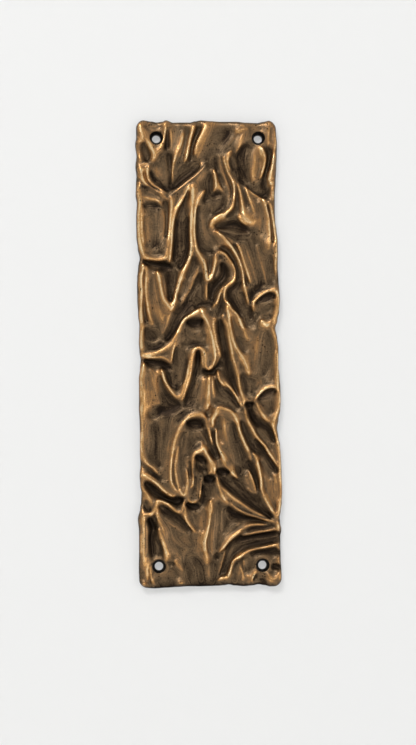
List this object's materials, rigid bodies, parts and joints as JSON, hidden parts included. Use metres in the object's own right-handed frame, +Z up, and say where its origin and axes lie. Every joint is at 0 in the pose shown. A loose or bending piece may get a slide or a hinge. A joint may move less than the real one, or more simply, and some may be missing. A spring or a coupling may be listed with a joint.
{
  "type": "door finger plate",
  "caption": "Cast bronze door finger plate: a tall rectangular push plate with a flowing folded relief on its front, a flat back and countersunk screw holes near its corners.",
  "frame": {"origin": "middle of the flat back face, which lies against the door", "axes": "+Z up along the plate's length, +X to the right seen from the front, +Y into the door; the relief faces -Y"},
  "size_m": [0.0774, 0.0063, 0.2507],
  "materials": {
    "bronze": "dark brown patina in the valleys, polished warm gold on the crests"
  },
  "bodies": {
    "root": {"finger_plate": "bronze"}
  },
  "joints": []
}
